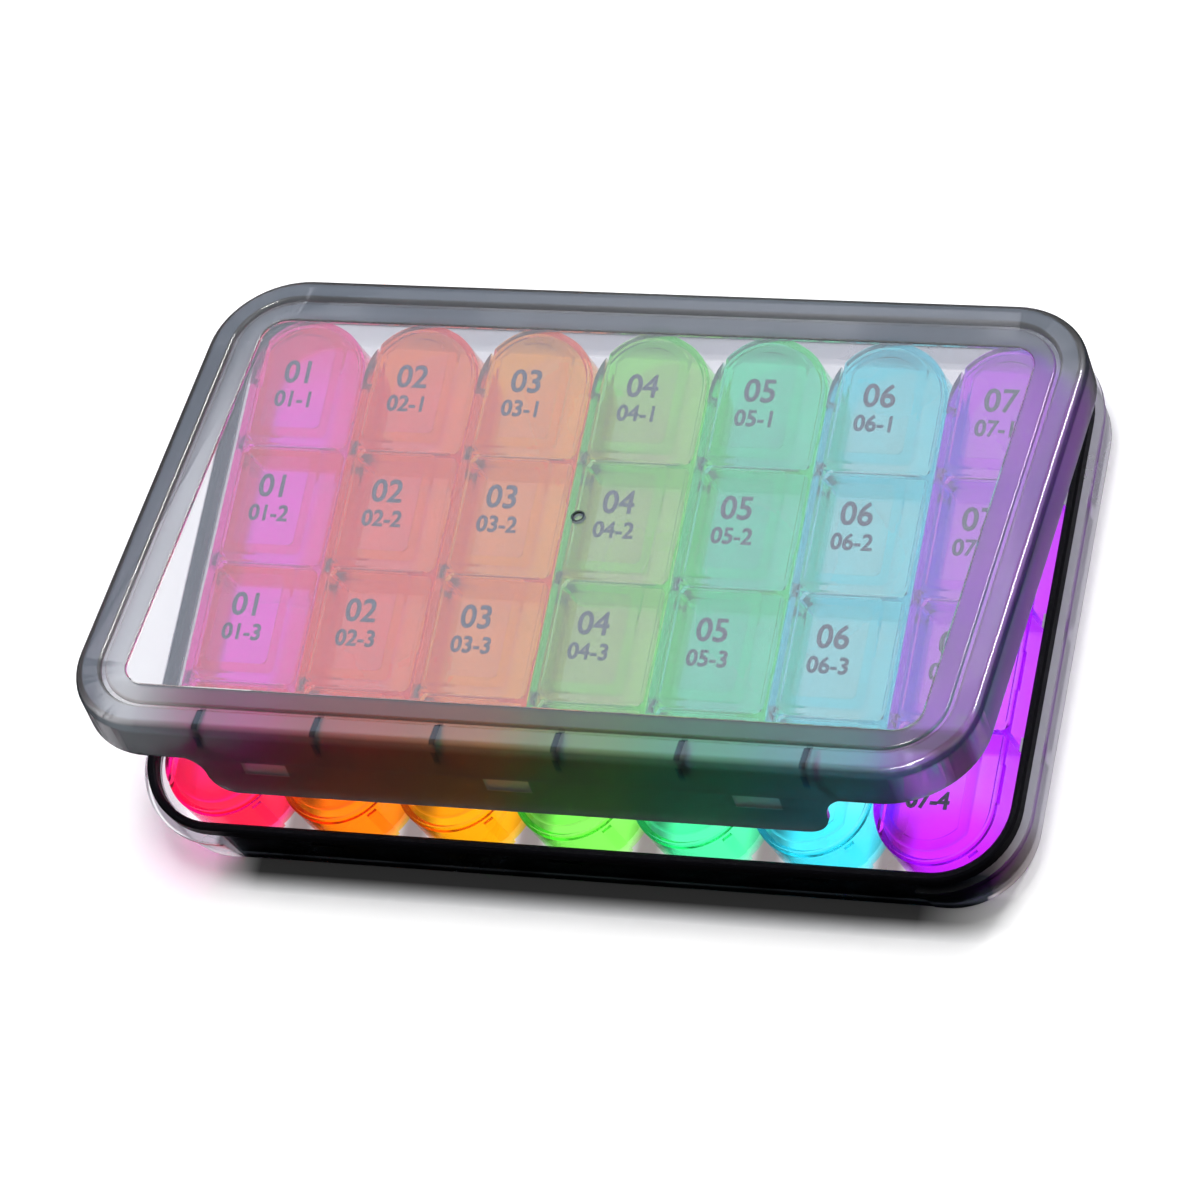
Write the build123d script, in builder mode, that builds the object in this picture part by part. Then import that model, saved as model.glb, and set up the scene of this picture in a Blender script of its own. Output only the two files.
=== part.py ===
from build123d import *
import os
from math import atan, degrees

os.makedirs("parts", exist_ok=True)

# Week of pods, all lengths in millimetres: x runs along the week, y to the hinge side, z up from the table.
day_count = 7
pod_pitch = 28.0
row_pitch = 28.8
end_cell = 31.4
pod_gap = 0.6
pod_height = 15.4
pod_wall = 1.5
run_gap = 0.1
part_gap = 0.3

# Pod lids: a plate as thick as its hinge barrel, with a raised rim round a sunk panel.
barrel_radius = 1.15
trunnion_radius = 0.7
trunnion_reach = 1.5
bore_gap = 0.05
ear_width = 3.0
lid_gap = 0.5
lid_inset = 0.5
lid_corner = 2.2
rim_height = 1.7
rim_width = 2.2
rim_border = 1.85
panel_depth = 0.9
panel_corner = 1.5
row_border = 1.2
finger_ledge = 3.95
rim_edge = 0.35

# Case: a tray with a seal on its shoulder, and a lid that covers the seal and hangs a flap in front.
floor_thickness = 2.0
pod_proud = 2.8
flange_thickness = 2.0
flange_step = 0.5
pod_side_room = 2.9
pod_end_room = 1.2
seal_thickness = 2.0
seal_height = 3.3
seal_inset = 0.2
seal_foot_side = 0.5
seal_foot_depth = 1.4
skirt_thickness = 1.5
slide_gap = 0.25
case_radius = 20.0
foot_inset = 1.9
foot_chamfer = 1.0
rail_length = 3.0
rail_height = 9.0

# Case lid: raised border, sunk line and ledge round a clear window.
head_room = 1.3
plate_thickness = 2.1
band_width = 6.1
groove_width = 0.9
groove_depth = 1.1
ledge_width = 5.1
ledge_drop = 0.4
window_radius = 6.0
window_drop = 0.7
window_fit = 0.05
bond_gap = 0.02
gate_radius = 1.2
gate_depth = 0.3
crisp_edge = 0.25
gusset_thickness = 1.2
lid_open_angle = 16.8

# Front latch: three slots in the flap go over three bumps in the recessed wall.
flap_bottom = 3.0
flap_half = 66.0
flap_step = 0.3
slot_width = 10.6
slot_height = 4.0
slot_skin = 0.4
slot_end = 3.7
latch_drop = 2.7
recess_room = 4.2
flap_gap = 0.55
bump_height = 0.45
bump_side_room = 1.5
bump_top_room = 0.9
bump_corner = 0.8

# Rear hinge: the barrels lie just behind the skirt, close to the shoulder.
knuckle_radius = 2.0
pin_radius = 0.8
barrel_gap = 0.2
hinge_lift = 0.5
hinge_spacing = 120.0
lid_knuckle = 14.0
base_knuckle = 7.0
base_web = 2.2

# Sizes that follow from the pods outwards.
pod_width = pod_pitch - pod_gap
pod_length = 2 * (row_pitch + end_cell)
pod_floor = floor_thickness + run_gap
pod_top = pod_floor + pod_height
pod_end_radius = pod_width / 2
pod_straight = pod_length / 2 - pod_end_radius
lid_under = pod_top + run_gap
lid_plate = 2 * barrel_radius
shoulder_z = pod_top - pod_proud
cavity_width = (day_count - 1) * pod_pitch + pod_width + 2 * pod_side_room
cavity_depth = pod_length + 2 * pod_end_room
seal_width = cavity_width + 2 * (seal_inset + seal_thickness)
seal_depth = cavity_depth + 2 * (seal_inset + seal_thickness)
seal_cover = slide_gap + skirt_thickness
case_width = seal_width + 2 * seal_cover
case_depth = seal_depth + 2 * seal_cover
seal_radius = case_radius - seal_cover
cavity_radius = seal_radius - seal_thickness - seal_inset
lid_foot = shoulder_z + run_gap
plate_under = lid_under + lid_plate + rim_height + head_room
lid_top = plate_under + plate_thickness
hinge_y = case_depth / 2 + knuckle_radius + barrel_gap
hinge_z = shoulder_z + hinge_lift
hinge_sides = [-hinge_spacing / 2, hinge_spacing / 2]
flap_bend = (lid_foot - flap_bottom) / 2
latch_z = shoulder_z - latch_drop
latch_pitch = flap_half - slot_end - slot_width / 2
latch_places = [-latch_pitch, 0, latch_pitch]
recess_half = flap_half + 2 * flap_bend + recess_room
recess_y = case_depth / 2 - skirt_thickness - flap_gap

# The tray: a drafted box with a flange at its mouth.
draft_height = shoulder_z - flange_thickness
draft = degrees(atan((foot_inset - flange_step) / draft_height))
with BuildPart() as base_tray:
    with BuildSketch():
        RectangleRounded(case_width - 2 * foot_inset, case_depth - 2 * foot_inset, case_radius - foot_inset)
    extrude(amount=draft_height, taper=-draft)
    chamfer(base_tray.faces().sort_by(Axis.Z)[0].edges(), foot_chamfer)
    with BuildSketch(Plane.XY.offset(draft_height)):
        RectangleRounded(case_width, case_depth, case_radius)
    extrude(amount=flange_thickness)
    with BuildSketch(Plane.XY.offset(floor_thickness)):
        RectangleRounded(cavity_width, cavity_depth, cavity_radius)
    extrude(amount=shoulder_z, mode=Mode.SUBTRACT)

    # Groove that holds the foot of the seal.
    foot_inner = seal_thickness - seal_foot_side
    with BuildSketch(Plane.XY.offset(shoulder_z - seal_foot_depth)) as seal_foot:
        RectangleRounded(
            seal_width - 2 * seal_foot_side, seal_depth - 2 * seal_foot_side, seal_radius - seal_foot_side
        )
        RectangleRounded(
            seal_width - 2 * foot_inner, seal_depth - 2 * foot_inner, seal_radius - foot_inner, mode=Mode.SUBTRACT
        )
    extrude(amount=seal_foot_depth, mode=Mode.SUBTRACT)

    # Front wall set back so that the flap lies flush when the case is shut.
    with Locations((0, -recess_y, 0)):
        Box(
            2 * recess_half,
            case_radius,
            2 * shoulder_z,
            align=(Align.CENTER, Align.MAX, Align.CENTER),
            mode=Mode.SUBTRACT,
        )
    with BuildSketch(Plane.XZ.offset(recess_y)):
        with Locations(*[(x, latch_z) for x in latch_places]):
            RectangleRounded(slot_width - 2 * bump_side_room, slot_height - 2 * bump_top_room, bump_corner)
    extrude(amount=bump_height)

    # Rails on the side walls that stop the row of pods from sliding sideways.
    rail_depth = pod_side_room - part_gap
    with Locations((0, 0, floor_thickness)):
        with GridLocations(cavity_width - rail_depth, row_pitch, 2, 3):
            Box(rail_depth, rail_length, rail_height, align=(Align.CENTER, Align.CENTER, Align.MIN))

    # Outer knuckles of the two rear hinges, on webs that stay below the lid's skirt.
    knuckle_offset = (lid_knuckle + base_knuckle) / 2 + part_gap
    knuckle_places = [x + turn * knuckle_offset for x in hinge_sides for turn in (-1, 1)]
    with Locations(*[(x, hinge_y, shoulder_z - barrel_gap) for x in knuckle_places]):
        Box(
            base_knuckle,
            hinge_y - case_depth / 2 + skirt_thickness,
            base_web,
            align=(Align.CENTER, Align.MAX, Align.MAX),
        )
    with Locations(*[(x, hinge_y, hinge_z) for x in knuckle_places]):
        Cylinder(knuckle_radius, base_knuckle, rotation=(0, 90, 0))
        Cylinder(pin_radius, base_knuckle, rotation=(0, 90, 0), mode=Mode.SUBTRACT)
base_tray.part.label = "base_tray"
export_step(base_tray.part, "parts/base_tray.step")

# The black seal: a soft lip that stands on the shoulder, with its foot in the groove.
with BuildPart() as seal_ring:
    with BuildSketch(Plane.XY.offset(shoulder_z)):
        RectangleRounded(seal_width, seal_depth, seal_radius)
        RectangleRounded(
            seal_width - 2 * seal_thickness,
            seal_depth - 2 * seal_thickness,
            seal_radius - seal_thickness,
            mode=Mode.SUBTRACT,
        )
    extrude(amount=seal_height)
    chamfer(seal_ring.faces().sort_by(Axis.Z)[-1].edges(), seal_thickness / 4)
    add(seal_foot.sketch)
    extrude(amount=seal_foot_depth)
seal_ring.part.label = "seal_ring"
export_step(seal_ring.part, "parts/seal_ring.step")

# The case lid's top, drawn shut: a rounded border, a sunk line and a ledge round the window's opening.
line_inset = band_width + groove_width
window_inset = line_inset + ledge_width
with BuildPart() as case_lid:
    with BuildSketch(Plane.XY.offset(plate_under)):
        RectangleRounded(case_width, case_depth, case_radius)
    extrude(amount=plate_thickness)
    fillet(case_lid.faces().sort_by(Axis.Z)[-1].edges(), plate_thickness - run_gap)
    with BuildSketch(Plane.XY.offset(lid_top - ledge_drop)):
        RectangleRounded(case_width - 2 * band_width, case_depth - 2 * band_width, case_radius - band_width)
    extrude(amount=ledge_drop, mode=Mode.SUBTRACT)
    with BuildSketch(Plane.XY.offset(lid_top - groove_depth)):
        RectangleRounded(case_width - 2 * band_width, case_depth - 2 * band_width, case_radius - band_width)
        RectangleRounded(
            case_width - 2 * line_inset, case_depth - 2 * line_inset, case_radius - line_inset, mode=Mode.SUBTRACT
        )
    extrude(amount=groove_depth, mode=Mode.SUBTRACT)
    with BuildSketch(Plane.XY.offset(plate_under)):
        RectangleRounded(case_width - 2 * window_inset, case_depth - 2 * window_inset, window_radius)
    extrude(amount=plate_thickness, mode=Mode.SUBTRACT)
    band_top = case_lid.faces().filter_by(Plane.XY).sort_by(Axis.Z)[-1]
    fillet(band_top.inner_wires()[0].edges(), groove_depth - run_gap)
    ledge_top = case_lid.faces().filter_by(Plane.XY).sort_by(Axis.Z)[-2]
    fillet(ledge_top.outer_wire().edges(), groove_depth - ledge_drop - run_gap)
    ledge_top = case_lid.faces().filter_by(Plane.XY).sort_by(Axis.Z)[-2]
    chamfer(ledge_top.inner_wires()[0].edges(), crisp_edge)

# The lid's skirt, joined to the underside of the border all round.
skirt_top = plate_under - bond_gap
with BuildPart() as lid_skirt:
    with BuildSketch(Plane.XY.offset(lid_foot)):
        RectangleRounded(case_width, case_depth, case_radius)
        RectangleRounded(
            case_width - 2 * skirt_thickness,
            case_depth - 2 * skirt_thickness,
            case_radius - skirt_thickness,
            mode=Mode.SUBTRACT,
        )
    extrude(amount=skirt_top - lid_foot)

    # Flap with swept ends below the front skirt, a little set back, with three blind catch slots behind.
    with BuildSketch(Plane.XZ.offset(case_depth / 2 - flap_step)):
        with BuildLine():
            Line((-flap_half, flap_bottom), (flap_half, flap_bottom))
            RadiusArc((flap_half, flap_bottom), (flap_half + flap_bend, flap_bottom + flap_bend), -flap_bend)
            RadiusArc((flap_half + flap_bend, flap_bottom + flap_bend), (flap_half + 2 * flap_bend, lid_foot), flap_bend)
            mirror(about=Plane.YZ)
            Line((flap_half + 2 * flap_bend, lid_foot), (-flap_half - 2 * flap_bend, lid_foot))
        make_face()
    extrude(amount=flap_step - skirt_thickness)
    slot_depth = skirt_thickness - flap_step - slot_skin
    with Locations(*[(x, skirt_thickness - case_depth / 2, latch_z) for x in latch_places]):
        Box(
            slot_width,
            slot_depth,
            slot_height,
            align=(Align.CENTER, Align.MAX, Align.CENTER),
            mode=Mode.SUBTRACT,
        )

    # Gussets in the front corner, one over each joint between two pods, from the sunk line down to the seal.
    gusset_run = line_inset - skirt_thickness
    gusset_drop = skirt_top - shoulder_z - seal_height - part_gap
    corner_y = skirt_thickness - case_depth / 2
    for step in range(day_count - 1):
        gusset_x = (step - (day_count - 2) / 2) * (pod_pitch + pod_gap)
        with BuildSketch(Plane.YZ.offset(gusset_x - gusset_thickness / 2)):
            with BuildLine():
                Polyline(
                    (corner_y, skirt_top),
                    (corner_y + gusset_run, skirt_top),
                    (corner_y, skirt_top - gusset_drop),
                    close=True,
                )
            make_face()
        extrude(amount=gusset_thickness)

    # Middle knuckles of the rear hinges, on webs above the pin.
    with Locations(*[(x, hinge_y, hinge_z) for x in hinge_sides]):
        Box(
            lid_knuckle,
            hinge_y - case_depth / 2 + skirt_thickness / 3,
            knuckle_radius,
            align=(Align.CENTER, Align.MAX, Align.MIN),
        )
        Cylinder(knuckle_radius, lid_knuckle, rotation=(0, 90, 0))
        Cylinder(pin_radius + bore_gap, lid_knuckle, rotation=(0, 90, 0), mode=Mode.SUBTRACT)

# The clear window, a polished panel bonded into the opening, with the moulding gate's dimple in its middle.
pane_inset = window_inset + window_fit
with BuildPart() as lid_window:
    with BuildSketch(Plane.XY.offset(plate_under)):
        RectangleRounded(case_width - 2 * pane_inset, case_depth - 2 * pane_inset, window_radius - window_fit)
    extrude(amount=plate_thickness - window_drop)
    chamfer(lid_window.faces().sort_by(Axis.Z)[-1].edges(), crisp_edge)
    with Locations((0, 0, lid_top - window_drop)):
        Cylinder(gate_radius, 2 * gate_depth, mode=Mode.SUBTRACT)

# The lid's pieces are swung open together about the hinge.
hinge_axis = Axis((0, hinge_y, hinge_z), (1, 0, 0))
for piece, name in ((case_lid, "case_lid"), (lid_skirt, "lid_skirt"), (lid_window, "lid_window")):
    swung = piece.part.rotate(hinge_axis, -lid_open_angle)
    swung.label = name
    export_step(swung, f"parts/{name}.step")

# Steel pins of the two rear hinges, held in the tray's knuckles.
pin_length = lid_knuckle + 2 * (base_knuckle + part_gap)
for x, name in zip(hinge_sides, ("hinge_pin_left", "hinge_pin_right")):
    with BuildPart() as hinge_pin:
        with Locations((x, hinge_y, hinge_z)):
            Cylinder(pin_radius, pin_length, rotation=(0, 90, 0))
    hinge_pin.part.label = name
    export_step(hinge_pin.part, f"parts/{name}.step")

# Pods and lids are drawn in the middle of the case and set out along the week.
day_places = {day: (day - (day_count + 1) / 2) * pod_pitch for day in range(1, day_count + 1)}
row_edges = [pod_length / 2, row_pitch, 0.0, -row_pitch, -pod_length / 2]
rows = list(zip("abcd", row_edges[:-1], row_edges[1:]))
axis_x = -pod_width / 2 + barrel_radius + slide_gap
axis_z = lid_under + barrel_radius
end_ear = pod_straight - ear_width
top_length = pod_length - 2 * lid_inset
top_width = pod_width - 2 * lid_inset

# Pod: a stadium-shaped trough with four cells, open at the top.
block_side = 1.0
dip_width = 1.6
dip_length = 9.0
dip_depth = 1.0
rib_thickness = 1.2
rib_width = 2.4
rib_drop = 1.0
with BuildPart() as pod:
    with BuildSketch(Plane.XY.offset(pod_floor)):
        SlotOverall(pod_length, pod_width, rotation=90)
    extrude(amount=pod_height)
    for row, rear, front in rows:
        with BuildSketch(Plane.XY.offset(pod_floor + pod_wall)):
            SlotOverall(pod_length - 2 * pod_wall, pod_width - 2 * pod_wall, rotation=90)
            with Locations((0, (rear + front) / 2)):
                Rectangle(pod_width, rear - front - pod_wall, mode=Mode.INTERSECT)
        extrude(amount=pod_height, mode=Mode.SUBTRACT)

    # Ears between the lids, and a fixed block at each rounded end, carry the lids' trunnions.
    for y in row_edges[1:-1]:
        with BuildSketch(Plane.XZ.offset(-y)):
            with Locations((axis_x, axis_z)):
                Circle(barrel_radius)
            with Locations((axis_x, (pod_top + axis_z) / 2)):
                Rectangle(2 * barrel_radius, axis_z - pod_top)
        extrude(amount=ear_width / 2, both=True)
    block_left = -pod_width / 2
    block_right = axis_x + block_side
    for end in (-1, 1):
        with BuildSketch(Plane.XY.offset(pod_top)):
            SlotOverall(top_length, top_width, rotation=90)
            with Locations(((block_left + block_right) / 2, end * (end_ear + pod_end_radius / 2))):
                Rectangle(block_right - block_left, pod_end_radius, mode=Mode.INTERSECT)
        extrude(amount=lid_plate + run_gap)
    with Locations((axis_x, 0, axis_z)):
        Cylinder(
            trunnion_radius + bore_gap, 2 * (end_ear + trunnion_reach), rotation=(90, 0, 0), mode=Mode.SUBTRACT
        )

    # Nail dips in the right wall, and the upright rib on the front shoulder.
    dip_limit = pod_straight - dip_length * 2 / 3
    dip_places = [max(min((rear + front) / 2, dip_limit), -dip_limit) for row, rear, front in rows]
    with Locations(*[(pod_width / 2, y, pod_top) for y in dip_places]):
        Box(dip_width, dip_length, 2 * dip_depth, mode=Mode.SUBTRACT)
    with Locations(Location((0, -pod_straight, pod_floor), (0, 0, -45))):
        with Locations((pod_end_radius, 0, 0)):
            Box(rib_thickness, rib_width, pod_height - rib_drop, align=(Align.CENTER, Align.CENTER, Align.MIN))
for day, pod_x in day_places.items():
    placed_pod = pod.part.translate((pod_x, 0, 0))
    placed_pod.label = f"pod_{day}"
    export_step(placed_pod, f"parts/pod_{day}.step")

# Lids: a plate with a barrel on the left, a low finger ledge on the right and a raised rim round the panel.
neck = barrel_radius + lid_gap
plate_left = axis_x + neck
plate_right = top_width / 2
plate_middle = (plate_left + plate_right) / 2
rim_left = plate_left + lid_gap
rim_right = plate_right - finger_ledge
rim_middle = (rim_left + rim_right) / 2
ear_room = ear_width / 2 + part_gap
for (row, rear, front), twin in zip(rows[:2], "dc"):
    middle = (rear + front) / 2
    length = rear - front - lid_gap
    barrel_rear = min(rear - ear_room, end_ear - part_gap)
    barrel_front = front + ear_room
    barrel_middle = (barrel_rear + barrel_front) / 2
    barrel_length = barrel_rear - barrel_front
    with BuildPart() as pod_lid:
        with BuildSketch(Plane.XY.offset(lid_under)):
            SlotOverall(top_length, top_width, rotation=90)
            with Locations((plate_middle, middle)):
                RectangleRounded(plate_right - plate_left, length, lid_corner, mode=Mode.INTERSECT)
            with Locations(((axis_x + plate_left + lid_corner) / 2, barrel_middle)):
                Rectangle(plate_left + lid_corner - axis_x, barrel_length)
        extrude(amount=lid_plate)
        with Locations((axis_x, barrel_middle, axis_z)):
            Cylinder(barrel_radius, barrel_length, rotation=(90, 0, 0))
            Cylinder(trunnion_radius, barrel_length + 2 * trunnion_reach, rotation=(90, 0, 0))

        # Raised rim with its sunk panel, both following the round end of the pod.
        with BuildSketch(Plane.XY.offset(lid_under + lid_plate)):
            SlotOverall(top_length - 2 * rim_border, top_width - 2 * rim_border, rotation=90)
            with Locations((rim_middle, middle)):
                RectangleRounded(
                    rim_right - rim_left, length - 2 * row_border, panel_corner, mode=Mode.INTERSECT
                )
        extrude(amount=rim_height)
        with BuildSketch(Plane.XY.offset(lid_under + lid_plate + rim_height - panel_depth)):
            panel_inset = rim_border + rim_width
            SlotOverall(top_length - 2 * panel_inset, top_width - 2 * panel_inset, rotation=90)
            with Locations((rim_middle, middle)):
                RectangleRounded(
                    rim_right - rim_left - 2 * rim_width,
                    length - 2 * (row_border + rim_width),
                    panel_corner,
                    mode=Mode.INTERSECT,
                )
        extrude(amount=panel_depth, mode=Mode.SUBTRACT)
        chamfer(pod_lid.faces().sort_by(Axis.Z)[-1].edges(), rim_edge)

    # The two front rows are the two rear rows mirrored.
    for letter, lid in ((row, pod_lid.part), (twin, mirror(pod_lid.part, about=Plane.XZ))):
        for day, pod_x in day_places.items():
            placed_lid = lid.translate((pod_x, 0, 0))
            placed_lid.label = f"pod_lid_{day}{letter}"
            export_step(placed_lid, f"parts/pod_lid_{day}{letter}.step")
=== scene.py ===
import math

import bmesh
import bpy
from mathutils import Matrix, Vector


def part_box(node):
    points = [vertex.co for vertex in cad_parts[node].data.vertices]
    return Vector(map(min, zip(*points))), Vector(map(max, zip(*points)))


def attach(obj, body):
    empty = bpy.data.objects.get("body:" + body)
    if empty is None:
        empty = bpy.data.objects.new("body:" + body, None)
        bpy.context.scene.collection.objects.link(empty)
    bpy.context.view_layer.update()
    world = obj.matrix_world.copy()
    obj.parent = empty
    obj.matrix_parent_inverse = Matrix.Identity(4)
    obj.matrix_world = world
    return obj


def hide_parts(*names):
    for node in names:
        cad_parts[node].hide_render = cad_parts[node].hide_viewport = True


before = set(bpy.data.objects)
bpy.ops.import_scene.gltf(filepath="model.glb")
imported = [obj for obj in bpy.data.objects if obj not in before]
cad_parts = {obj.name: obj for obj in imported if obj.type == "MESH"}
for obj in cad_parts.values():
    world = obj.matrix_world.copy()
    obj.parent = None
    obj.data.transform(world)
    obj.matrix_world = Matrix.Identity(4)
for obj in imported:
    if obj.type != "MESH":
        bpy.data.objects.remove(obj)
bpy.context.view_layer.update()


# Tray: the lower half of the case, one clear grey injection moulding with a shoulder round its mouth.
# The outside is lightly etched. The recessed front wall under the latch flap is painted nearly black as
# painted shade, and the walls and the gaps between the pods carry painted shade too.

def skin_group():
    """Fine etched grain and broad handling smears for moulded plastic, as a roughness and a height."""
    group = bpy.data.node_groups.new("moulded_skin", "ShaderNodeTree")
    face = group.interface
    for name, value in (("Grain", 2600.0), ("Smear", 22.0), ("Smooth", 0.1), ("Rough", 0.2)):
        face.new_socket(name, in_out="INPUT", socket_type="NodeSocketFloat").default_value = value
    face.new_socket("Roughness", in_out="OUTPUT", socket_type="NodeSocketFloat")
    face.new_socket("Height", in_out="OUTPUT", socket_type="NodeSocketFloat")
    face.new_socket("Cloud", in_out="OUTPUT", socket_type="NodeSocketFloat")
    nodes, links = group.nodes, group.links
    inside = nodes.new("NodeGroupInput")
    outside = nodes.new("NodeGroupOutput")
    place = nodes.new("ShaderNodeTexCoord")
    grain = nodes.new("ShaderNodeTexNoise")
    grain.inputs["Detail"].default_value = 2.0
    smear = nodes.new("ShaderNodeTexNoise")
    smear.inputs["Detail"].default_value = 5.0
    smear.inputs["Distortion"].default_value = 0.6
    links.new(place.outputs["Object"], grain.inputs["Vector"])
    links.new(place.outputs["Object"], smear.inputs["Vector"])
    links.new(inside.outputs["Grain"], grain.inputs["Scale"])
    links.new(inside.outputs["Smear"], smear.inputs["Scale"])
    spread = nodes.new("ShaderNodeMapRange")
    spread.inputs["From Min"].default_value = 0.32
    spread.inputs["From Max"].default_value = 0.68
    links.new(smear.outputs["Fac"], spread.inputs["Value"])
    links.new(inside.outputs["Smooth"], spread.inputs["To Min"])
    links.new(inside.outputs["Rough"], spread.inputs["To Max"])
    links.new(spread.outputs["Result"], outside.inputs["Roughness"])
    links.new(grain.outputs["Fac"], outside.inputs["Height"])
    links.new(smear.outputs["Fac"], outside.inputs["Cloud"])
    return group


moulded_skin = skin_group()


def moulded(name, grain, smear, smooth, rough, depth):
    """A Principled material whose roughness and bump come from the moulded skin."""
    material = bpy.data.materials.new(name)
    material.use_nodes = True
    nodes, links = material.node_tree.nodes, material.node_tree.links
    shader = nodes["Principled BSDF"]
    skin = nodes.new("ShaderNodeGroup")
    skin.node_tree = moulded_skin
    skin.name = "skin"
    for socket, value in (("Grain", grain), ("Smear", smear), ("Smooth", smooth), ("Rough", rough)):
        skin.inputs[socket].default_value = value
    bump = nodes.new("ShaderNodeBump")
    bump.inputs["Strength"].default_value = depth
    bump.inputs["Distance"].default_value = 0.0002
    links.new(skin.outputs["Roughness"], shader.inputs["Roughness"])
    links.new(skin.outputs["Height"], bump.inputs["Height"])
    links.new(bump.outputs["Normal"], shader.inputs["Normal"])
    return material


def let_light_in(material, tint):
    """Lamps shine through the plastic, tinted, while every other ray sees the real surface."""
    nodes, links = material.node_tree.nodes, material.node_tree.links
    clear = nodes.new("ShaderNodeBsdfTransparent")
    if isinstance(tint, bpy.types.NodeSocket):
        links.new(tint, clear.inputs["Color"])
    else:
        clear.inputs["Color"].default_value = (*tint, 1.0)
    path = nodes.new("ShaderNodeLightPath")
    mix = nodes.new("ShaderNodeMixShader")
    links.new(path.outputs["Is Shadow Ray"], mix.inputs["Fac"])
    links.new(nodes["Principled BSDF"].outputs["BSDF"], mix.inputs[1])
    links.new(clear.outputs["BSDF"], mix.inputs[2])
    links.new(mix.outputs["Shader"], nodes["Material Output"].inputs["Surface"])


def soak(material, kept, density):
    """Colour that deepens with the thickness the light goes through."""
    nodes, links = material.node_tree.nodes, material.node_tree.links
    volume = nodes.new("ShaderNodeVolumeAbsorption")
    volume.inputs["Color"].default_value = (*kept, 1.0)
    volume.inputs["Density"].default_value = density
    links.new(volume.outputs["Volume"], nodes["Material Output"].inputs["Volume"])


def ramp(material, value, start, end, top=1.0):
    """A mask that is 0 where the value is at start and rises to its top at end."""
    node = material.node_tree.nodes.new("ShaderNodeMapRange")
    node.inputs["From Min"].default_value = start
    node.inputs["From Max"].default_value = end
    node.inputs["To Max"].default_value = top
    material.node_tree.links.new(value, node.inputs["Value"])
    return node.outputs["Result"]


def reckon(material, operation, *values):
    """One step of arithmetic on values, each a socket or a plain number."""
    node = material.node_tree.nodes.new("ShaderNodeMath")
    node.operation = operation
    for socket, value in zip(node.inputs, values):
        if isinstance(value, bpy.types.NodeSocket):
            material.node_tree.links.new(value, socket)
        else:
            socket.default_value = value
    return node.outputs["Value"]


def tone(material, mask, low, high):
    """A colour that goes from low to high with a mask; each is a socket or a plain colour."""
    node = material.node_tree.nodes.new("ShaderNodeMix")
    node.data_type = "RGBA"
    material.node_tree.links.new(mask, node.inputs["Factor"])
    for name, colour in (("A", low), ("B", high)):
        if isinstance(colour, bpy.types.NodeSocket):
            material.node_tree.links.new(colour, node.inputs[name])
        else:
            node.inputs[name].default_value = (*colour, 1.0)
    return node.outputs["Result"]


def both(material, first, *others):
    """Where every mask holds."""
    for other in others:
        first = reckon(material, "MULTIPLY", first, other)
    return first


def either(material, first, *others):
    """Where any of the masks holds."""
    for other in others:
        first = reckon(material, "MAXIMUM", first, other)
    return first


def along(material, direction):
    """How far a point of the piece lies along a direction."""
    nodes, links = material.node_tree.nodes, material.node_tree.links
    place = nodes.new("ShaderNodeTexCoord")
    reach = nodes.new("ShaderNodeVectorMath")
    reach.operation = "DOT_PRODUCT"
    reach.inputs[1].default_value = direction
    links.new(place.outputs["Object"], reach.inputs[0])
    return reach.outputs["Value"]


def finish_node(node, material):
    """Gives a carried-over CAD node its material."""
    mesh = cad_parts[node].data
    mesh.materials.clear()
    mesh.materials.append(material)


smoke_tray = moulded("smoke_tray", grain=2200.0, smear=18.0, smooth=0.24, rough=0.34, depth=0.05)
tray_shader = smoke_tray.node_tree.nodes["Principled BSDF"]
tray_shader.inputs["Transmission Weight"].default_value = 0.97
tray_shader.inputs["IOR"].default_value = 1.16
tray_shader.inputs["Specular IOR Level"].default_value = 0.25

# Where the tray's parts begin and end, each as the start and the end of a soft edge.
floor_edge = (0.0022, 0.0032)
front_bend = (-0.0500, -0.0605)
front_face_edge = (-0.0600, -0.0612)
recess_left_end = (-0.0832, -0.0818)
recess_right_fade = (0.1046, 0.0985)
side_wall_edge = (0.0970, 0.0985)
left_wall_fade = (-0.0800, -0.0300)
pod_pitch = 0.028
pod_gap_edge = (0.0080, 0.0120)
pod_end_edge = (-0.0420, -0.0480)
left_flange_edge = (-0.0870, -0.0860)

tray_length = along(smoke_tray, (0.0, 1.0, 0.0))
tray_across = along(smoke_tray, (1.0, 0.0, 0.0))
tray_side = reckon(smoke_tray, "ABSOLUTE", tray_across)
tray_height = along(smoke_tray, (0.0, 0.0, 1.0))
above_floor = ramp(smoke_tray, tray_height, *floor_edge)
# Painted shade: the recessed front wall is painted nearly black, for the shade it lies in.
painted_front_shade = both(
    smoke_tray,
    ramp(smoke_tray, tray_length, *front_bend),
    ramp(smoke_tray, tray_across, *recess_left_end),
    ramp(smoke_tray, tray_across, *recess_right_fade),
    either(smoke_tray, above_floor, ramp(smoke_tray, tray_length, *front_face_edge)),
)
# Painted shade: the walls keep the smoke grey and are painted greyer than the tray floor.
wall_shade_mask = either(smoke_tray, above_floor, ramp(smoke_tray, tray_side, *side_wall_edge))
# Painted shade: the tray floor in the gaps between the pods' front ends is painted dark.
painted_gap_shade = both(
    smoke_tray,
    ramp(smoke_tray, reckon(smoke_tray, "PINGPONG", tray_side, pod_pitch / 2), *pod_gap_edge),
    ramp(smoke_tray, tray_length, *pod_end_edge),
    ramp(smoke_tray, tray_across, *left_flange_edge),
)
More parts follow.
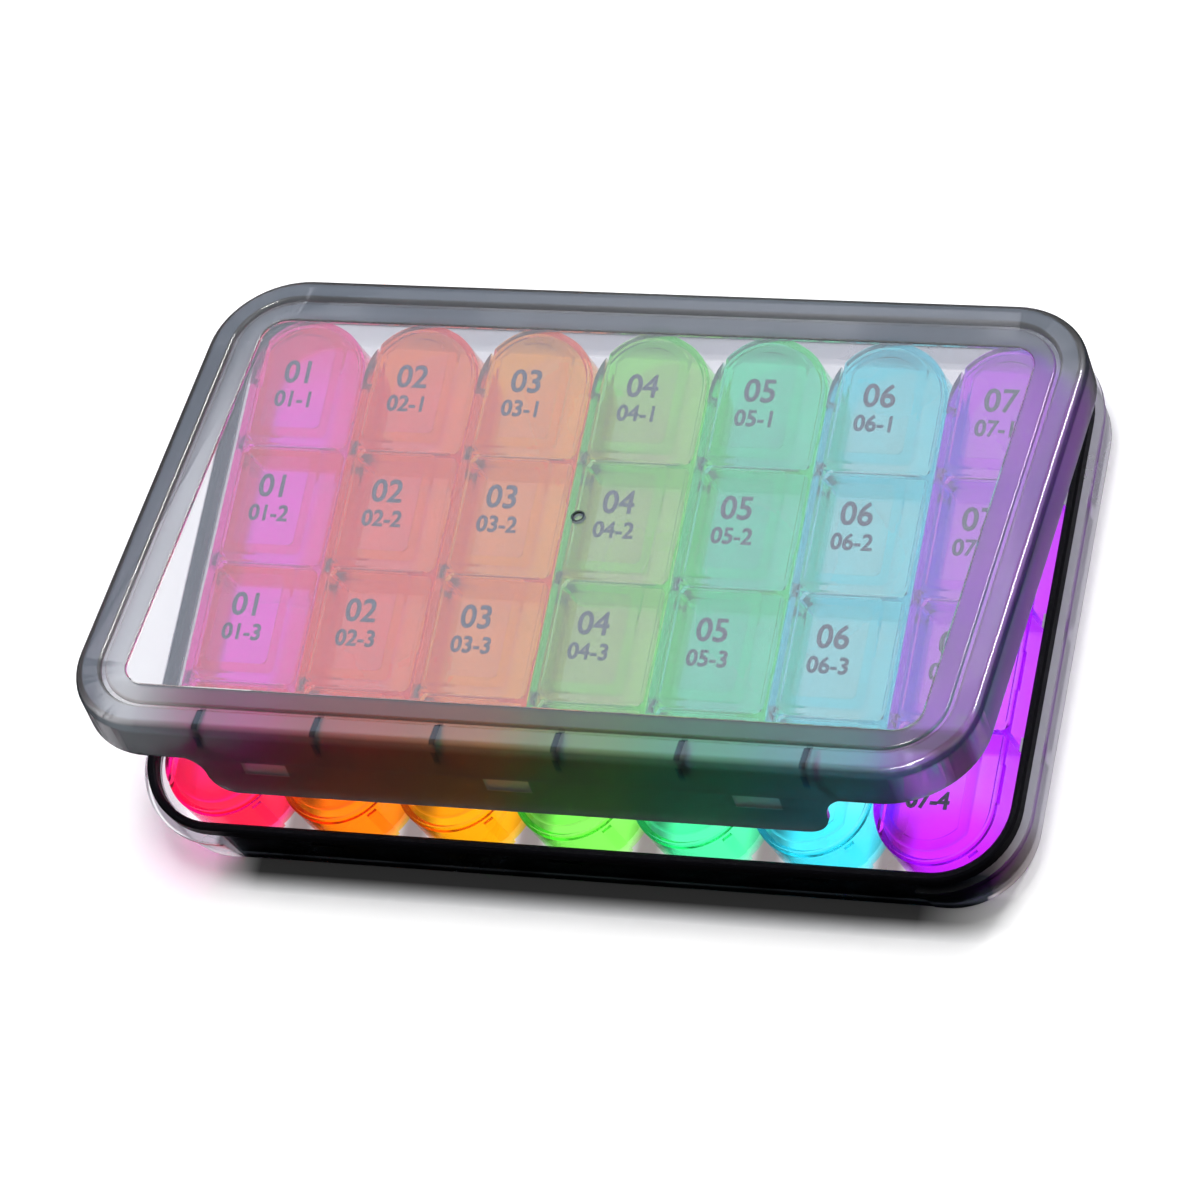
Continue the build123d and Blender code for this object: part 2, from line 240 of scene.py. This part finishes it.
# Painted shade: the walls are painted darker from the left end towards the right.
right_wall_shade = ramp(smoke_tray, tray_across, *left_wall_fade)
wall_shade_tone = tone(smoke_tray, right_wall_shade, (0.78, 0.78, 0.80), (0.54, 0.53, 0.57))
clear_tone = tone(smoke_tray, wall_shade_mask, (0.97, 0.96, 0.98), wall_shade_tone)
gap_shade_tone = tone(smoke_tray, painted_gap_shade, clear_tone, (0.30, 0.26, 0.26))
tray_tone = tone(smoke_tray, painted_front_shade, gap_shade_tone, (0.002, 0.003, 0.004))
smoke_tray.node_tree.links.new(tray_tone, tray_shader.inputs["Base Color"])
soak(smoke_tray, kept=(0.34, 0.34, 0.40), density=80.0)
let_light_in(smoke_tray, tray_tone)
finish_node("base_tray", smoke_tray)


# Seal ring: a black soft lip moulded as its own ring and pressed onto the tray's shoulder.
# It is satin rubber with a faint bloom, which keeps the lid's skirt from rattling.

seal_rubber = moulded("seal_rubber", grain=3200.0, smear=40.0, smooth=0.38, rough=0.55, depth=0.12)
seal_nodes, seal_links = seal_rubber.node_tree.nodes, seal_rubber.node_tree.links
seal_cloud = seal_nodes["skin"].outputs["Cloud"]
bloom = tone(seal_rubber, seal_cloud, (0.001, 0.001, 0.0015), (0.004, 0.0035, 0.006))
seal_links.new(bloom, seal_nodes["Principled BSDF"].inputs["Base Color"])
seal_nodes["Principled BSDF"].inputs["Specular IOR Level"].default_value = 0.06
finish_node("seal_ring", seal_rubber)


# Hinge pins: two short steel wires pushed through the knuckles at the rear, hidden in the photograph.
# Drawn wire, so the fine scratches run along the pin.

pin_steel = bpy.data.materials.new("pin_steel")
pin_steel.use_nodes = True
pin_nodes, pin_links = pin_steel.node_tree.nodes, pin_steel.node_tree.links
pin_shader = pin_nodes["Principled BSDF"]
pin_shader.inputs["Metallic"].default_value = 1.0
pin_place = pin_nodes.new("ShaderNodeTexCoord")
pin_stretch = pin_nodes.new("ShaderNodeMapping")
pin_stretch.inputs["Scale"].default_value = (300.0, 9000.0, 9000.0)
pin_scratch = pin_nodes.new("ShaderNodeTexNoise")
pin_scratch.inputs["Scale"].default_value = 1.0
pin_links.new(pin_place.outputs["Object"], pin_stretch.inputs["Vector"])
pin_links.new(pin_stretch.outputs["Vector"], pin_scratch.inputs["Vector"])
pin_tone = tone(pin_steel, pin_scratch.outputs["Fac"], (0.46, 0.46, 0.47), (0.66, 0.66, 0.66))
pin_links.new(pin_tone, pin_shader.inputs["Base Color"])
pin_wear = pin_nodes.new("ShaderNodeMapRange")
pin_wear.inputs["To Min"].default_value = 0.22
pin_wear.inputs["To Max"].default_value = 0.42
pin_links.new(pin_scratch.outputs["Fac"], pin_wear.inputs["Value"])
pin_links.new(pin_wear.outputs["Result"], pin_shader.inputs["Roughness"])
for pin in ("hinge_pin_left", "hinge_pin_right"):
    finish_node(pin, pin_steel)


# Day pods and their flip lids: seven clear tinted troughs, each with four lids on moulded trunnions.
# Glossy injection mouldings whose colour deepens at the ends and where walls stand behind each other.

# For each day: the tint's name, the colour that the plastic keeps, how densely it is tinted,
# and its surface colour over the cells and at the vivid parts.
day_tints = {
    1: ("pink", (0.995, 0.03, 0.90), 330.0, (0.99, 0.50, 1.00), (0.998, 0.32, 0.30)),
    2: ("red_orange", (0.995, 0.38, 0.06), 340.0, (0.96, 0.65, 0.79), (0.998, 0.82, 0.16)),
    3: ("orange", (0.995, 0.64, 0.02), 320.0, (0.94, 0.76, 0.66), (0.998, 0.88, 0.14)),
    4: ("lime", (0.46, 0.99, 0.26), 230.0, (0.90, 0.74, 0.74), (0.70, 0.998, 0.53)),
    5: ("green", (0.08, 0.99, 0.66), 250.0, (0.64, 0.82, 0.85), (0.55, 0.998, 0.83)),
    6: ("blue", (0.10, 0.92, 0.97), 220.0, (0.94, 0.92, 0.88), (0.42, 0.95, 0.998)),
    7: ("purple", (0.84, 0.03, 0.995), 340.0, (0.88, 0.88, 0.93), (0.90, 0.30, 0.998)),
}

# Where the vivid parts of a pod lie: start and end of the soft edge, and how vivid they get.
pod_front_end = (-0.0380, -0.0500, 0.9)
pod_rear_end = (0.0400, 0.0580, 0.4)
lid_rim = (0.0208, 0.0214, 0.75)
wall_foot = (0.0040, 0.0060)
wall_head = (0.0176, 0.0168)
finger_strip = (0.0070, 0.0105, 0.55)
flow_share = 0.16
shadow_tint = 0.30
shadow_clear = 0.69


def tinted_plastic(name, kept, density, pale, vivid):
    """Clear plastic of one colour, pale over the cells, vivid at the ends, rims, walls and finger side."""
    material = moulded(name, grain=1500.0, smear=60.0, smooth=0.06, rough=0.13, depth=0.01)
    nodes, links = material.node_tree.nodes, material.node_tree.links
    shader = nodes["Principled BSDF"]
    shader.inputs["Transmission Weight"].default_value = 0.98
    shader.inputs["IOR"].default_value = 1.15
    across = along(material, (1.0, 0.0, 0.0))
    length = along(material, (0.0, 1.0, 0.0))
    height = along(material, (0.0, 0.0, 1.0))
    from_middle = reckon(material, "WRAP", across, -pod_pitch / 2, pod_pitch / 2)
    deep = either(
        material,
        ramp(material, length, *pod_front_end),
        ramp(material, length, *pod_rear_end),
        ramp(material, height, *lid_rim),
        both(material, ramp(material, height, *wall_foot), ramp(material, height, *wall_head)),
        ramp(material, from_middle, *finger_strip),
    )
    flow = reckon(material, "MULTIPLY", nodes["skin"].outputs["Cloud"], flow_share)
    depth = reckon(material, "ADD", deep, flow)
    links.new(tone(material, depth, pale, vivid), shader.inputs["Base Color"])
    soak(material, kept, density)
    let_light_in(material, tuple(shadow_tint * value + shadow_clear for value in kept))
    return material


dose_rows = "abcd"
for day, (tint, *colours) in day_tints.items():
    plastic = tinted_plastic("pod_" + tint, *colours)
    finish_node(f"pod_{day}", plastic)
    for row in dose_rows:
        finish_node(f"pod_lid_{day}{row}", plastic)


# Printed numbers: one screen-printed code on the sunk panel of every pod lid, day over day and dose.
# Thin matt ink, with the front row printed heavier and in a single line.

ink = moulded("print_ink", grain=5000.0, smear=300.0, smooth=0.5, rough=0.7, depth=0.05)
ink_nodes, ink_links = ink.node_tree.nodes, ink.node_tree.links
ink_tone = tone(ink, ink_nodes["skin"].outputs["Cloud"], (0.006, 0.010, 0.030), (0.018, 0.026, 0.062))
ink_links.new(ink_tone, ink_nodes["Principled BSDF"].inputs["Base Color"])


def print_tree():
    """Two lines of figures, filled and thickened by their stroke, laid flat at a place."""
    tree = bpy.data.node_groups.new("printed_code", "GeometryNodeTree")
    face = tree.interface
    face.new_socket("Geometry", in_out="INPUT", socket_type="NodeSocketGeometry")
    for name in ("Upper", "Lower"):
        face.new_socket(name, in_out="INPUT", socket_type="NodeSocketString")
    for name in ("Upper Size", "Lower Size", "Line Step", "Stroke"):
        face.new_socket(name, in_out="INPUT", socket_type="NodeSocketFloat")
    face.new_socket("Place", in_out="INPUT", socket_type="NodeSocketVector")
    face.new_socket("Geometry", in_out="OUTPUT", socket_type="NodeSocketGeometry")
    nodes, links = tree.nodes, tree.links
    inside = nodes.new("NodeGroupInput")
    outside = nodes.new("NodeGroupOutput")
    lines = nodes.new("GeometryNodeJoinGeometry")
    figures = bpy.data.fonts.load("<builtin>")
    for line in ("Upper", "Lower"):
        text = nodes.new("GeometryNodeStringToCurves")
        text.font = figures
        text.align_x = "CENTER"
        text.align_y = "MIDDLE"
        links.new(inside.outputs[line], text.inputs["String"])
        links.new(inside.outputs[line + " Size"], text.inputs["Size"])
        shift = nodes.new("GeometryNodeTransform")
        links.new(text.outputs["Curve Instances"], shift.inputs["Geometry"])
        if line == "Upper":
            step = nodes.new("ShaderNodeCombineXYZ")
            links.new(inside.outputs["Line Step"], step.inputs["Y"])
            links.new(step.outputs["Vector"], shift.inputs["Translation"])
        links.new(shift.outputs["Geometry"], lines.inputs["Geometry"])
    plain = nodes.new("GeometryNodeRealizeInstances")
    links.new(lines.outputs["Geometry"], plain.inputs["Geometry"])
    coarse = nodes.new("GeometryNodeSetSplineResolution")
    coarse.inputs["Resolution"].default_value = 3
    links.new(plain.outputs["Geometry"], coarse.inputs["Geometry"])
    fill = nodes.new("GeometryNodeFillCurve")
    links.new(coarse.outputs["Geometry"], fill.inputs["Curve"])
    bead = nodes.new("GeometryNodeCurvePrimitiveCircle")
    bead.inputs["Resolution"].default_value = 6
    links.new(inside.outputs["Stroke"], bead.inputs["Radius"])
    edge = nodes.new("GeometryNodeCurveToMesh")
    links.new(coarse.outputs["Geometry"], edge.inputs["Curve"])
    links.new(bead.outputs["Curve"], edge.inputs["Profile Curve"])
    flat = nodes.new("GeometryNodeTransform")
    flat.inputs["Scale"].default_value = (1.0, 1.0, 0.15)
    links.new(edge.outputs["Mesh"], flat.inputs["Geometry"])
    code = nodes.new("GeometryNodeJoinGeometry")
    links.new(flat.outputs["Geometry"], code.inputs["Geometry"])
    links.new(fill.outputs["Mesh"], code.inputs["Geometry"])
    lay = nodes.new("GeometryNodeTransform")
    links.new(code.outputs["Geometry"], lay.inputs["Geometry"])
    links.new(inside.outputs["Place"], lay.inputs["Translation"])
    whole = nodes.new("GeometryNodeRealizeInstances")
    links.new(lay.outputs["Geometry"], whole.inputs["Geometry"])
    inked = nodes.new("GeometryNodeSetMaterial")
    inked.inputs["Material"].default_value = ink
    links.new(whole.outputs["Geometry"], inked.inputs["Geometry"])
    links.new(inked.outputs["Geometry"], outside.inputs["Geometry"])
    return tree


printed_code = print_tree()
print_inputs = [item for item in printed_code.interface.items_tree if item.in_out == "INPUT"]
print_sockets = {item.name: item.identifier for item in print_inputs}


def print_on(lid, values):
    """Runs the print tree for one lid and keeps the result as a plain mesh that rides that lid."""
    piece = bpy.data.objects.new("print_" + lid[-2:], bpy.data.meshes.new("print_" + lid[-2:]))
    bpy.context.scene.collection.objects.link(piece)
    press = piece.modifiers.new("printed_code", "NODES")
    press.node_group = printed_code
    for name, value in values.items():
        press[print_sockets[name]] = value
    ready = piece.evaluated_get(bpy.context.evaluated_depsgraph_get())
    mesh = bpy.data.meshes.new_from_object(ready)
    piece.modifiers.remove(press)
    piece.data = mesh
    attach(piece, lid)


panel_depth = 0.0009
ink_lift = 0.00004
lid_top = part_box("pod_lid_1a")[1].z
print_height = lid_top - panel_depth + ink_lift
print_shift = -0.0008
row_lines = {"a": 0.0395, "b": 0.0113, "c": -0.0177, "d": -0.0466}
for day in day_tints:
    pod_low, pod_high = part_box(f"pod_{day}")
    middle = (pod_low.x + pod_high.x) / 2 + print_shift
    for count, row in enumerate(dose_rows, 1):
        front_row = row == "d"
        print_on(
            f"pod_lid_{day}{row}",
            {
                "Upper": "" if front_row else f"{day:02d}",
                "Lower": f"{day:02d}-{count}",
                "Upper Size": 0.0078,
                "Lower Size": 0.0054,
                "Line Step": 0.0066,
                "Stroke": 0.00026 if front_row else 0.00018,
                "Place": (middle, row_lines[row], print_height),
            },
        )


# Case lid frame: rounded border, sunk line, ledge, skirt, latch flap and gussets, one smoke moulding.
# The imported model keeps its flat top and its skirt as two solids, which are joined again here.
# The surface is etched, so it scatters what lies behind, and thick parts turn dark.
# The front ledge and the front skirt carry painted shade, and a painted dark line runs along the border's
# roll.

lid_open = math.radians(16.8)
lid_up = Vector((0.0, math.sin(lid_open), math.cos(lid_open)))
lid_forward = Vector((0.0, -math.cos(lid_open), math.sin(lid_open)))
same_point = 1e-6
same_level = 1e-5
weld_overlap = 0.00006
sharp_angle = math.radians(32)


def merged_copy(node, lift):
    """A copy of a node's mesh with its loose triangles joined, and its top raised along the lid's up."""
    shape = bmesh.new()
    shape.from_mesh(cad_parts[node].data)
    bmesh.ops.remove_doubles(shape, verts=shape.verts, dist=same_point)
    top = max(vert.co.dot(lid_up) for vert in shape.verts)
    for vert in shape.verts:
        if vert.co.dot(lid_up) > top - same_level:
            vert.co += lid_up * lift
    mesh = bpy.data.meshes.new("lid_frame")
    shape.to_mesh(mesh)
    shape.free()
    piece = bpy.data.objects.new("lid_frame", mesh)
    bpy.context.scene.collection.objects.link(piece)
    return piece


lid_frame = merged_copy("case_lid", 0.0)
skirt_copy = merged_copy("lid_skirt", weld_overlap)
weld = lid_frame.modifiers.new("weld", "BOOLEAN")
weld.operation = "UNION"
weld.solver = "EXACT"
weld.object = skirt_copy
joined = lid_frame.evaluated_get(bpy.context.evaluated_depsgraph_get())
welded = bpy.data.meshes.new_from_object(joined)
lid_frame.modifiers.remove(weld)
bpy.data.objects.remove(skirt_copy)
welded.polygons.foreach_set("use_smooth", [True] * len(welded.polygons))
welded.set_sharp_from_angle(angle=sharp_angle)
lid_frame.data = welded
even = lid_frame.modifiers.new("even", "WEIGHTED_NORMAL")
even.mode = "FACE_AREA"
even.weight = 100
even.keep_sharp = True
evened = lid_frame.evaluated_get(bpy.context.evaluated_depsgraph_get())
welded = bpy.data.meshes.new_from_object(evened)
lid_frame.modifiers.remove(even)
lid_frame.data = welded

smoke_frame = moulded("smoke_frame", grain=2600.0, smear=26.0, smooth=0.40, rough=0.50, depth=0.04)
frame_nodes, frame_links = smoke_frame.node_tree.nodes, smoke_frame.node_tree.links
frame_shader = frame_nodes["Principled BSDF"]
frame_shader.inputs["Transmission Weight"].default_value = 0.97
frame_shader.inputs["IOR"].default_value = 1.36
frame_shader.inputs["Coat Weight"].default_value = 0.9
frame_shader.inputs["Coat Roughness"].default_value = 0.07

# Where the lid's darker and paler parts lie, in the swung lid's own directions.
ledge_back = (0.0588, 0.0604)
ledge_line = (0.0664, 0.0652)
ledge_left_fade = (-0.0980, -0.0700)
skirt_front = (0.0702, 0.0722)
slot_pitch = 0.057
slot_up = 0.03087
slot_half_width = (0.0054, 0.0051)
slot_half_height = (0.0021, 0.0018)
gusset_pitch = 0.028
gusset_half_width = (0.00088, 0.00060)
gusset_row_end = (0.0800, 0.0790)
gusset_front = (0.0654, 0.0662)
gusset_foot = (0.0368, 0.0384)
case_half_length = 0.10455
case_half_width = 0.06535
case_middle = 0.00725
corner_radius = 0.020
roll_edge = (corner_radius - 0.0018, corner_radius - 0.0010)
roll_head = (0.04345, 0.04305)
roll_foot = (0.0412, 0.0420)

reach_front = along(smoke_frame, lid_forward)
reach_up = along(smoke_frame, lid_up)
reach_side = along(smoke_frame, (1.0, 0.0, 0.0))
side_from_middle = reckon(smoke_frame, "ABSOLUTE", reach_side)
# Painted shade: the front ledge is painted darker, fading out towards the left.
painted_ledge_shade = both(
    smoke_frame,
    ramp(smoke_frame, reach_front, *ledge_back),
    ramp(smoke_frame, reach_front, *ledge_line),
    ramp(smoke_frame, reach_side, *ledge_left_fade),
)
# Painted shade: the front skirt is painted nearly black.
front_skirt_shade = ramp(smoke_frame, reach_front, *skirt_front)
slot_rise = reckon(smoke_frame, "ABSOLUTE", reckon(smoke_frame, "SUBTRACT", reach_up, slot_up))
# Painted light: the slots are painted lighter than the skirt's painted shade, for the light through their
# thin skin.
slot_part = both(
    smoke_frame,
    ramp(smoke_frame, reckon(smoke_frame, "PINGPONG", reach_side, slot_pitch / 2), *slot_half_width),
    ramp(smoke_frame, slot_rise, *slot_half_height),
    front_skirt_shade,
)
gusset_phase = reckon(smoke_frame, "ADD", reach_side, gusset_pitch / 2)
gusset_side = reckon(smoke_frame, "PINGPONG", gusset_phase, gusset_pitch / 2)
gusset_part = both(
    smoke_frame,
    ramp(smoke_frame, gusset_side, *gusset_half_width),
    ramp(smoke_frame, side_from_middle, *gusset_row_end),
    ramp(smoke_frame, reach_front, *gusset_front),
    ramp(smoke_frame, reach_up, *gusset_foot),
)


def past_straight(distance, straight):
    """The square of how far a point lies past the end of a straight side."""
    past = reckon(smoke_frame, "SUBTRACT", distance, straight)
    return reckon(smoke_frame, "POWER", reckon(smoke_frame, "MAXIMUM", past, 0.0), 2.0)


front_offset = reckon(smoke_frame, "SUBTRACT", reach_front, case_middle)
front_from_middle = reckon(smoke_frame, "ABSOLUTE", front_offset)
over_side = past_straight(side_from_middle, case_half_length - corner_radius)
over_front = past_straight(front_from_middle, case_half_width - corner_radius)
from_corner = reckon(smoke_frame, "SQRT", reckon(smoke_frame, "ADD", over_side, over_front))
# Painted reflection: a dark line is painted on the lower half of the border's roll, for the dark
# surroundings its refraction shows.
painted_roll_line = both(
    smoke_frame,
    ramp(smoke_frame, from_corner, *roll_edge),
    ramp(smoke_frame, reach_up, *roll_head),
    ramp(smoke_frame, reach_up, *roll_foot),
)
frame_skin = frame_nodes["skin"].outputs["Cloud"]
frame_cloud = tone(smoke_frame, frame_skin, (0.92, 0.92, 0.94), (0.97, 0.97, 0.98))
ledge_shade_tone = tone(smoke_frame, painted_ledge_shade, frame_cloud, (0.40, 0.36, 0.30))
skirt_shade_tone = tone(smoke_frame, front_skirt_shade, ledge_shade_tone, (0.07, 0.08, 0.085))
slot_shade_tone = tone(smoke_frame, slot_part, skirt_shade_tone, (0.30, 0.30, 0.30))
gusset_tone = tone(smoke_frame, gusset_part, slot_shade_tone, (0.02, 0.035, 0.06))
frame_tone = tone(smoke_frame, painted_roll_line, gusset_tone, (0.10, 0.13, 0.15))
frame_links.new(frame_tone, frame_shader.inputs["Base Color"])
soak(smoke_frame, kept=(0.12, 0.13, 0.16), density=430.0)
let_light_in(smoke_frame, tint=(0.62, 0.62, 0.65))
welded.materials.clear()
welded.materials.append(smoke_frame)
for shell in ("case_lid", "lid_skirt"):
    finish_node(shell, smoke_frame)
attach(lid_frame, "case_lid")
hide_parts("case_lid", "lid_skirt")


# Lid window: the polished panel in the middle of the lid, of the same smoke plastic.
# It is clear with a slight milky haze, and keeps the dimple where the plastic entered the mould.

smoke_window = moulded("smoke_window", grain=900.0, smear=14.0, smooth=0.008, rough=0.03, depth=0.004)
window_nodes, window_links = smoke_window.node_tree.nodes, smoke_window.node_tree.links
window_shader = window_nodes["Principled BSDF"]
window_shader.inputs["Transmission Weight"].default_value = 0.92
window_shader.inputs["IOR"].default_value = 1.45
window_cloud = window_nodes["skin"].outputs["Cloud"]
haze = tone(smoke_window, window_cloud, (0.55, 0.56, 0.59), (0.60, 0.61, 0.64))
window_low, window_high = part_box("lid_window")
gate_centre = (window_low + window_high) / 2
gate_place = window_nodes.new("ShaderNodeTexCoord")
gate_reach = window_nodes.new("ShaderNodeVectorMath")
gate_reach.operation = "DISTANCE"
gate_reach.inputs[1].default_value = gate_centre
window_links.new(gate_place.outputs["Object"], gate_reach.inputs[0])
gate_radius = 0.00142
gate_line = (0.00030, 0.00040)
gate_gap = reckon(smoke_window, "SUBTRACT", gate_reach.outputs["Value"], gate_radius)
off_gate = ramp(smoke_window, reckon(smoke_window, "ABSOLUTE", gate_gap), *gate_line)
gate_tone = tone(smoke_window, off_gate, (0.004, 0.005, 0.003), haze)
window_links.new(gate_tone, window_shader.inputs["Base Color"])
soak(smoke_window, kept=(0.90, 0.74, 0.60), density=120.0)
let_light_in(smoke_window, tint=(0.80, 0.79, 0.82))
finish_node("lid_window", smoke_window)


# Stage: a plain white table and a white surround, with the object's own soft shadow on the table and a
# painted contact shadow at the foot of its front wall.
# Overhead and rear soft lamps light the case from behind, so the tinted plastic glows.

def ray_level(nodes, links, levels):
    """The level for the kind of ray that looks, the highest where a ray is of two kinds."""
    path = nodes.new("ShaderNodeLightPath")
    highest = None
    for kind, level in levels.items():
        part = nodes.new("ShaderNodeMath")
        part.operation = "MULTIPLY"
        part.inputs[1].default_value = level
        links.new(path.outputs[kind], part.inputs[0])
        if highest is None:
            highest = part
            continue
        higher = nodes.new("ShaderNodeMath")
        higher.operation = "MAXIMUM"
        links.new(highest.outputs["Value"], higher.inputs[0])
        links.new(part.outputs["Value"], higher.inputs[1])
        highest = higher
    return highest.outputs["Value"]


table_mesh = bpy.data.meshes.new("table")
table_reach = 3.0
table_top = -0.00015
table_corners = ((-1, -1), (1, -1), (1, 1), (-1, 1))
table_mesh.from_pydata(
    [(table_reach * side, table_reach * depth, table_top) for side, depth in table_corners],
    [],
    [(0, 1, 2, 3)],
)
table = bpy.data.objects.new("table", table_mesh)
bpy.context.scene.collection.objects.link(table)
table_white = bpy.data.materials.new("table_white")
table_white.use_nodes = True
table_nodes, table_links = table_white.node_tree.nodes, table_white.node_tree.links
table_nodes.remove(table_nodes["Principled BSDF"])
table_matt = table_nodes.new("ShaderNodeBsdfDiffuse")
table_tone = ray_level(
    table_nodes,
    table_links,
    {"Is Camera Ray": 0.95, "Is Transmission Ray": 0.30, "Is Glossy Ray": 0.02, "Is Diffuse Ray": 0.80},
)

# A narrow strip of the table at the foot of the black front wall is darkened as a painted contact shadow,
# which fades at its ends.
foot_fade = (-0.0712, -0.0662)
foot_back = (-0.0590, -0.0605)
foot_left_fade = (-0.0900, -0.0780)
foot_right_fade = (0.1020, 0.0780)
foot_shade = 0.93
foot_depth = along(table_white, (0.0, 1.0, 0.0))
foot_across = along(table_white, (1.0, 0.0, 0.0))
painted_foot_shadow = both(
    table_white,
    ramp(table_white, foot_depth, *foot_fade),
    ramp(table_white, foot_depth, *foot_back),
    ramp(table_white, foot_across, *foot_left_fade),
    ramp(table_white, foot_across, *foot_right_fade),
)
foot_dark = reckon(table_white, "MULTIPLY", painted_foot_shadow, foot_shade)
foot_light = reckon(table_white, "SUBTRACT", 1.0, foot_dark)
table_links.new(reckon(table_white, "MULTIPLY", table_tone, foot_light), table_matt.inputs["Color"])
table_glow = table_nodes.new("ShaderNodeEmission")
table_level = ray_level(table_nodes, table_links, {"Is Camera Ray": 0.08, "Is Transmission Ray": 1.20})
table_links.new(reckon(table_white, "MULTIPLY", table_level, foot_light), table_glow.inputs["Strength"])
table_lit = table_nodes.new("ShaderNodeAddShader")
table_links.new(table_matt.outputs["BSDF"], table_lit.inputs[0])
table_links.new(table_glow.outputs["Emission"], table_lit.inputs[1])
table_links.new(table_lit.outputs["Shader"], table_nodes["Material Output"].inputs["Surface"])
table_mesh.materials.append(table_white)

surround = bpy.data.worlds.new("surround")
bpy.context.scene.world = surround
surround.use_nodes = True
sky_nodes, sky_links = surround.node_tree.nodes, surround.node_tree.links
sky = sky_nodes["Background"]
sky.inputs["Color"].default_value = (1.0, 1.0, 1.0, 1.0)
sky_level = ray_level(
    sky_nodes,
    sky_links,
    {"Is Camera Ray": 1.0, "Is Transmission Ray": 1.2, "Is Glossy Ray": 0.16, "Is Diffuse Ray": 0.42},
)
sky_links.new(sky_level, sky.inputs["Strength"])


case_heart = Vector((0.0, 0.0, 0.02))


def soft_lamp(name, place, width, length, power, colour=(1.0, 1.0, 1.0)):
    """A soft lamp that faces the middle of the case."""
    lamp = bpy.data.lights.new(name, "AREA")
    lamp.shape = "RECTANGLE"
    lamp.size = width
    lamp.size_y = length
    lamp.energy = power
    lamp.color = colour
    holder = bpy.data.objects.new(name, lamp)
    bpy.context.scene.collection.objects.link(holder)
    holder.location = place
    holder.rotation_euler = (case_heart - Vector(place)).to_track_quat("-Z", "Y").to_euler()


soft_lamp("overhead_lamp", (0.08, 0.22, 1.28), width=0.30, length=0.30, power=12.0)
soft_lamp("rear_lamp", (0.58, 0.95, 0.66), width=0.18, length=0.40, power=8.0)
soft_lamp("window_lamp", (-0.49, 0.99, 0.69), width=0.6, length=0.6, power=2.2, colour=(0.55, 0.72, 1.0))
soft_lamp("right_lamp", (0.95, 0.05, 0.60), width=0.5, length=0.8, power=1.5)


# Camera: a long lens from above the front right corner, slightly rolled, as in the photograph.
# The focal length is in pixels of a 1200 pixel frame.

focal_pixels = 6546.5
frame_pixels = 1200
eye = Vector((0.5440, -0.4954, 1.2577))
image_right = Vector((0.9241, 0.1901, -0.3316))
image_down = Vector((0.0504, -0.9206, -0.3873))
lens = bpy.data.cameras.new("photo_camera")
lens.sensor_width = 36.0
lens.lens = focal_pixels * lens.sensor_width / frame_pixels
camera = bpy.data.objects.new("photo_camera", lens)
bpy.context.scene.collection.objects.link(camera)
image_right.normalize()
image_back = image_right.cross(-image_down).normalized()
image_up = image_back.cross(image_right)
turn = Matrix((image_right, image_up, image_back)).transposed().to_4x4()
camera.matrix_world = Matrix.Translation(eye) @ turn
bpy.context.scene.camera = camera
bpy.context.scene.view_settings.view_transform = "Standard"
